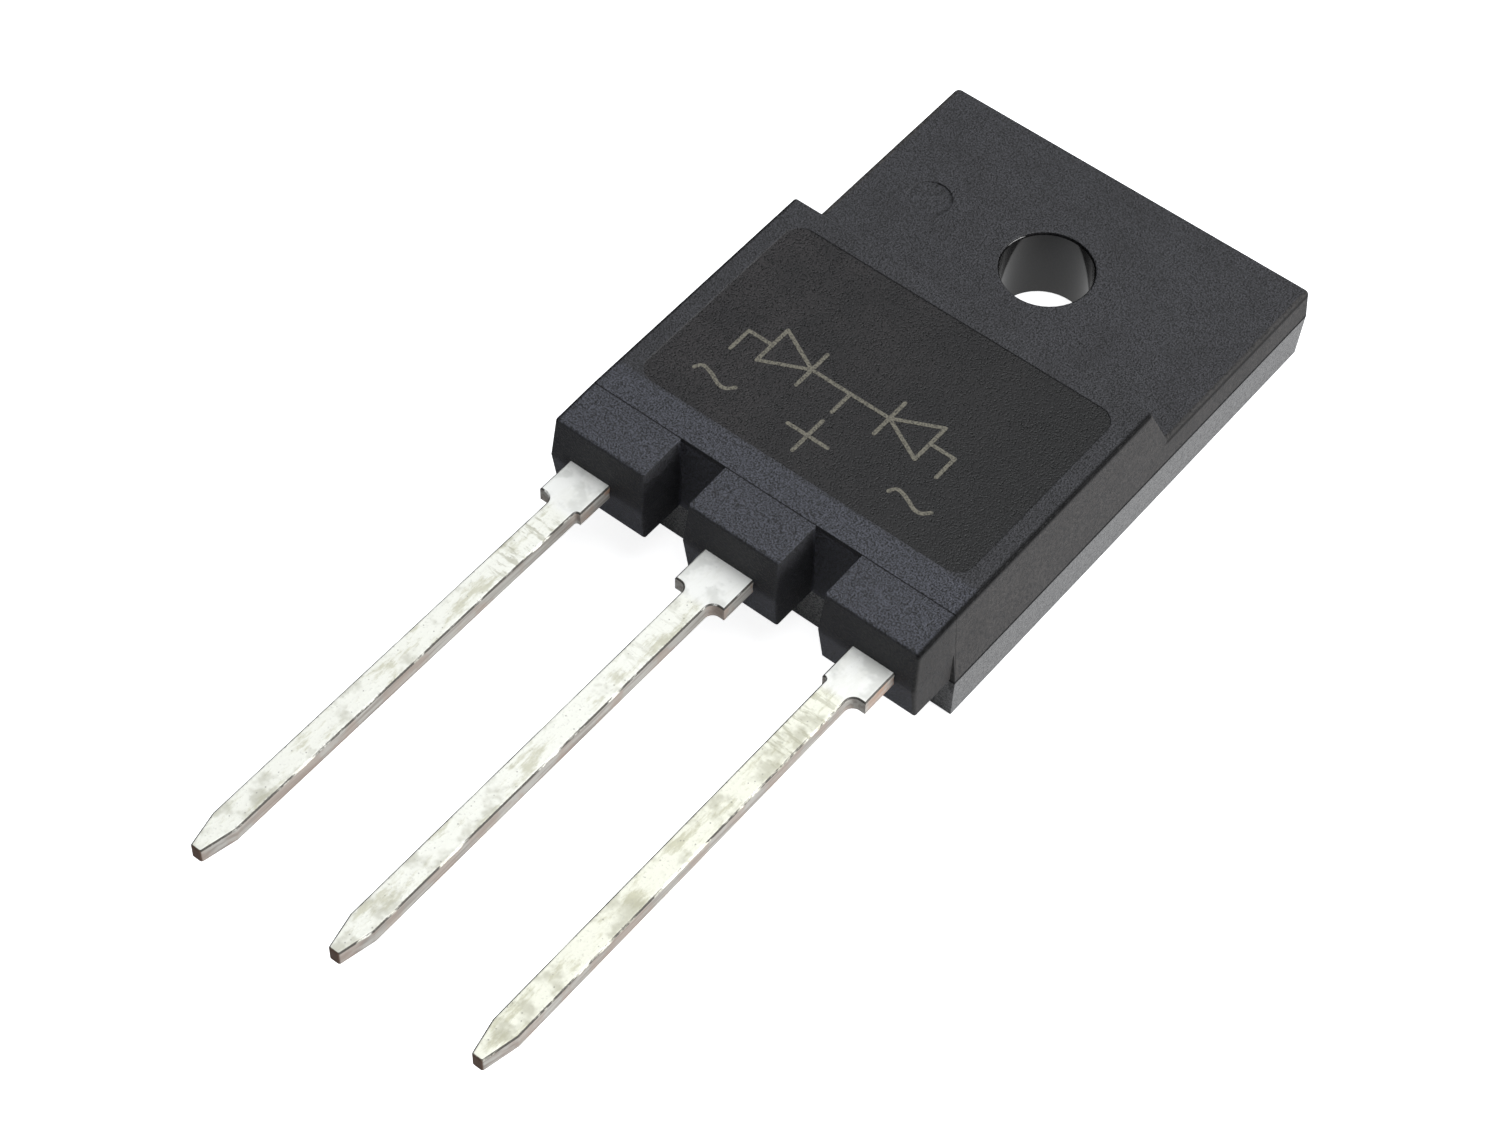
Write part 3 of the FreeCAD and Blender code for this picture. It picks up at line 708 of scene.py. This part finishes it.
marking("polarity_marks", [
    wave(LEFT_WAVE_AT, SIGN_ROW),
    wave(RIGHT_WAVE_AT, SIGN_ROW - RIGHT_WAVE_DROP),
    [(PLUS_AT - PLUS_HALF_WIDTH, SIGN_ROW), (PLUS_AT + PLUS_HALF_WIDTH, SIGN_ROW)],
    [(PLUS_AT, SIGN_ROW - PLUS_HALF_HEIGHT), (PLUS_AT, SIGN_ROW + PLUS_HALF_HEIGHT)],
])


# Circuit symbol: two diodes that share the middle terminal

SYMBOL_ROW = -9.9
TERMINAL_DROP = 0.95
DIODE_AT = 2.35
DIODE_HALF_LENGTH = 0.8
DIODE_HALF_HEIGHT = 0.8
OUTER_TERMINAL_AT = 4.1

symbol = [
    [(PLUS_AT, SYMBOL_ROW), (PLUS_AT, SYMBOL_ROW - TERMINAL_DROP)],
]
for side in (-1, 1):
    middle = PLUS_AT + side * DIODE_AT
    tip = middle - side * DIODE_HALF_LENGTH
    base = middle + side * DIODE_HALF_LENGTH
    end = PLUS_AT + side * OUTER_TERMINAL_AT
    symbol += [
        [(PLUS_AT, SYMBOL_ROW), (tip, SYMBOL_ROW)],
        [(tip, SYMBOL_ROW - DIODE_HALF_HEIGHT), (tip, SYMBOL_ROW + DIODE_HALF_HEIGHT)],
        [(base, SYMBOL_ROW), (end, SYMBOL_ROW)],
        [(end, SYMBOL_ROW), (end, SYMBOL_ROW - TERMINAL_DROP)],
        [(base, SYMBOL_ROW - DIODE_HALF_HEIGHT), (base, SYMBOL_ROW + DIODE_HALF_HEIGHT)],
        [(base, SYMBOL_ROW + DIODE_HALF_HEIGHT), (tip, SYMBOL_ROW)],
        [(base, SYMBOL_ROW - DIODE_HALF_HEIGHT), (tip, SYMBOL_ROW)],
    ]
marking("circuit_symbol", symbol)


# Floor: plain and pale, with light of its own; its half side and height are in metres

FLOOR_HALF = 1.2
FLOOR_HEIGHT = -0.00002
FLOOR_CORNERS = ((-1, -1), (1, -1), (1, 1), (-1, 1))
FLOOR_BOUNCE = (0.60, 0.60, 0.61, 1.0)
FLOOR_SEEN = (0.93, 0.93, 0.94, 1.0)
WHITE = (1.0, 1.0, 1.0, 1.0)
FLOOR_GLOW = 0.83
UNDER_HOLE_GLOW = 0.6
NEAR_SIDE_SHARE = 0.1
FAR_SIDE_SHARE = 1.25


def floor_material():
    """Paper for the camera, a greyer sheet for the light that it throws back at the object."""
    t = Tree("pale_floor")
    seen = t.nodes.new("ShaderNodeLightPath").outputs["Is Camera Ray"]
    bounce = t.add("ShaderNodeBsdfDiffuse", {"Color": FLOOR_BOUNCE})
    under_hole = t.step(t.from_axis(), HOLE_RADIUS + 0.1, HOLE_RADIUS - 0.1)
    lit_side = t.spread(t.y, -HOLE_RADIUS, HOLE_RADIUS, NEAR_SIDE_SHARE, FAR_SIDE_SHARE)
    spot = t.add("ShaderNodeEmission",
                 {"Strength": t.product(under_hole, lit_side, UNDER_HOLE_GLOW)})
    plain = t.add("ShaderNodeAddShader", {0: bounce.outputs[0], 1: spot.outputs[0]})
    paper = t.add("ShaderNodeBsdfDiffuse", {"Color": FLOOR_SEEN})
    glow = t.add("ShaderNodeEmission", {"Color": WHITE, "Strength": FLOOR_GLOW})
    lit = t.add("ShaderNodeAddShader", {0: paper.outputs[0], 1: glow.outputs[0]})
    both = t.add("ShaderNodeMixShader", {0: seen, 1: plain.outputs[0], 2: lit.outputs[0]})
    t.links.new(both.outputs[0], t.output.inputs["Surface"])
    return t.material


floor_mesh = bpy.data.meshes.new("floor")
floor_mesh.from_pydata(
    [(x * FLOOR_HALF, y * FLOOR_HALF, FLOOR_HEIGHT) for x, y in FLOOR_CORNERS],
    [], [(0, 1, 2, 3)])
floor = bpy.data.objects.new("floor", floor_mesh)
bpy.context.scene.collection.objects.link(floor)
floor_mesh.materials.append(floor_material())


# Light: two soft boxes in a dim, even room

LIGHT_AIM = mm(0, -12, 2)
ROOM_TINT = (0.93, 0.96, 1.0, 1.0)
ROOM_LIGHT = 0.2


def softbox(name, place, width, height, radiance, tint):
    """An area light whose face shines with a given radiance, seen in reflections."""
    data = bpy.data.lights.new(name, "AREA")
    data.shape = "RECTANGLE"
    data.size = width * MM
    data.size_y = height * MM
    data.energy = radiance * math.pi * data.size * data.size_y
    data.color = tint
    light = bpy.data.objects.new(name, data)
    bpy.context.scene.collection.objects.link(light)
    light.location = place
    light.rotation_mode = "QUATERNION"
    light.rotation_quaternion = (LIGHT_AIM - place).to_track_quat("-Z", "Y")


softbox("overhead", place=mm(50, 50, 250), width=240, height=200, radiance=3.6, tint=(0.96, 0.98, 1.0))
softbox("right_side", place=mm(240, 60, 75), width=170, height=110, radiance=11.5, tint=(1.0, 1.0, 1.0))

world = bpy.data.worlds.new("studio")
world.use_nodes = True
background = world.node_tree.nodes["Background"]
background.inputs["Color"].default_value = ROOM_TINT
background.inputs["Strength"].default_value = ROOM_LIGHT
bpy.context.scene.world = world
bpy.context.scene.view_settings.view_transform = "Standard"
